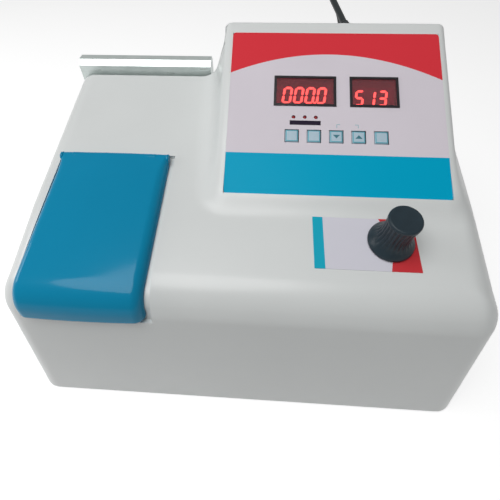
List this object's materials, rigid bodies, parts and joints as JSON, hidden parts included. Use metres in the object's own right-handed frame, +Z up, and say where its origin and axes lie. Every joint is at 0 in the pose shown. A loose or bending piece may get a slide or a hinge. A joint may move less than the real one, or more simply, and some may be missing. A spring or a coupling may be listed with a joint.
{
  "type": "spectrophotometer",
  "caption": "Bench spectrophotometer: pale moulded housing with a sloping top, hinged blue sample lid, raised display pod with keys, wavelength knob and mains lead",
  "frame": {"origin": "bottom centre of the instrument, on the surface that its feet stand on, without the mains lead", "axes": "+X to the right seen from the front, +Y to the rear, +Z up"},
  "size_m": [0.4272, 0.451, 0.2491],
  "materials": {
    "housing_white": "moulded pale grey-white plastic, satin gloss",
    "lid_blue": "moulded teal-blue plastic, glossy",
    "black_plastic": "matt black moulded plastic",
    "knob_black": "black moulded plastic, satin",
    "bezel_black": "glossy black bezel",
    "window_red": "clear red filter window",
    "digit_module": "dark display module with red segments",
    "led_red": "red diffused lamp",
    "overlay_print": "printed film with satin surface",
    "decal_print": "printed label with satin surface",
    "key_blue": "light blue rubberised key",
    "zinc_steel": "zinc plated steel",
    "polished_metal": "folded sheet, polished",
    "cast_aluminium": "as cast and machined",
    "black_anodised": "black anodised metal",
    "clear_glass": "clear optical glass",
    "mirror": "front coated mirror",
    "brass": "machined brass",
    "board_green": "green circuit board with parts",
    "foam": "black foam",
    "rubber_black": "black rubber",
    "lead_black": "black flexible lead",
    "core_steel": "varnished laminated core with wound bobbin",
    "ceramic": "white ceramic"
  },
  "bodies": {
    "instrument": {"housing_shell": "housing_white", "base_plate": "zinc_steel", "rubber_feet": "rubber_black", "foot_screws": "zinc_steel", "housing_screws": "zinc_steel", "lid_light_seal": "foam", "lid_hinge_brackets": "zinc_steel", "lid_hinge_pin": "zinc_steel", "sample_well": "black_anodised", "cuvette_holder": "black_anodised", "detector_housing": "black_anodised", "photodiode": "brass", "lamp_house": "zinc_steel", "lamp_socket": "ceramic", "halogen_lamp": "clear_glass", "condenser_lens": "clear_glass", "lamp_house_cover": "polished_metal", "cover_screws": "zinc_steel", "monochromator_casting": "cast_aluminium", "monochromator_cover": "cast_aluminium", "slit_plates": "black_anodised", "collimating_mirror": "mirror", "mirror_mount": "black_anodised", "shaft_bush": "brass", "knob_decal": "decal_print", "panel_overlay": "overlay_print", "fascia_plate": "zinc_steel", "display_bezels": "bezel_black", "display_windows": "window_red", "four_digit_display": "digit_module", "three_digit_display": "digit_module", "indicator_leds": "led_red", "display_board": "board_green", "board_spacers": "brass", "key_switches": "black_plastic", "main_board": "board_green", "power_transformer": "core_steel", "power_switch_body": "black_plastic", "fuse_holder": "black_plastic", "cord_gland": "black_plastic", "mains_cord": "lead_black", "cord_coil": "lead_black", "mains_plug": "lead_black", "plug_pins": "brass"},
    "lid": {"sample_lid": "lid_blue"},
    "knob": {"wavelength_knob": "knob_black", "knob_set_screw": "zinc_steel", "knob_shaft": "zinc_steel", "drive_pinion": "brass"},
    "grating_turret": {"sector_gear": "brass", "grating_shaft": "zinc_steel", "grating_table": "cast_aluminium", "diffraction_grating": "mirror"},
    "rocker": {"power_rocker": "black_plastic"},
    "key_1": {"panel_key_1": "key_blue"},
    "key_2": {"panel_key_2": "key_blue"},
    "key_3": {"panel_key_3": "key_blue"},
    "key_4": {"panel_key_4": "key_blue"},
    "key_5": {"panel_key_5": "key_blue"}
  },
  "joints": [
    {"name": "lid_hinge", "type": "hinge", "parent": "instrument", "child": "lid", "pos_m": [0, 0.00669, 0.1773], "axis": [-1, 0, 0], "range_deg": [0, 110]},
    {"name": "knob_turn", "type": "hinge", "parent": "instrument", "child": "knob", "pos_m": [0.1135, -0.06785, 0.16264], "axis": [0, -0.1736, 0.9848], "range_deg": [-125, 125]},
    {"name": "grating_turn", "type": "hinge", "parent": "instrument", "child": "grating_turret", "pos_m": [0.06366, -0.03219, 0.16892], "axis": [0, -0.1736, 0.9848], "range_deg": [-12.5, 12.5]},
    {"name": "rocker_tilt", "type": "hinge", "parent": "instrument", "child": "rocker", "pos_m": [0.15, 0.12435, 0.06], "axis": [1, 0, 0], "range_deg": [0, 18]},
    {"name": "key_1_press", "type": "slide", "parent": "instrument", "child": "key_1", "axis": [0, 0.4471, -0.8945], "range_m": [0, 0.0004], "stiffness_N_per_m": 500},
    {"name": "key_2_press", "type": "slide", "parent": "instrument", "child": "key_2", "axis": [0, 0.4471, -0.8945], "range_m": [0, 0.0004], "stiffness_N_per_m": 500},
    {"name": "key_3_press", "type": "slide", "parent": "instrument", "child": "key_3", "axis": [0, 0.4471, -0.8945], "range_m": [0, 0.0004], "stiffness_N_per_m": 500},
    {"name": "key_4_press", "type": "slide", "parent": "instrument", "child": "key_4", "axis": [0, 0.4471, -0.8945], "range_m": [0, 0.0004], "stiffness_N_per_m": 500},
    {"name": "key_5_press", "type": "slide", "parent": "instrument", "child": "key_5", "axis": [0, 0.4471, -0.8945], "range_m": [0, 0.0004], "stiffness_N_per_m": 500}
  ],
  "couplings": [
    {"joint": "grating_turn", "follows": "knob_turn", "ratio": -0.1}
  ]
}
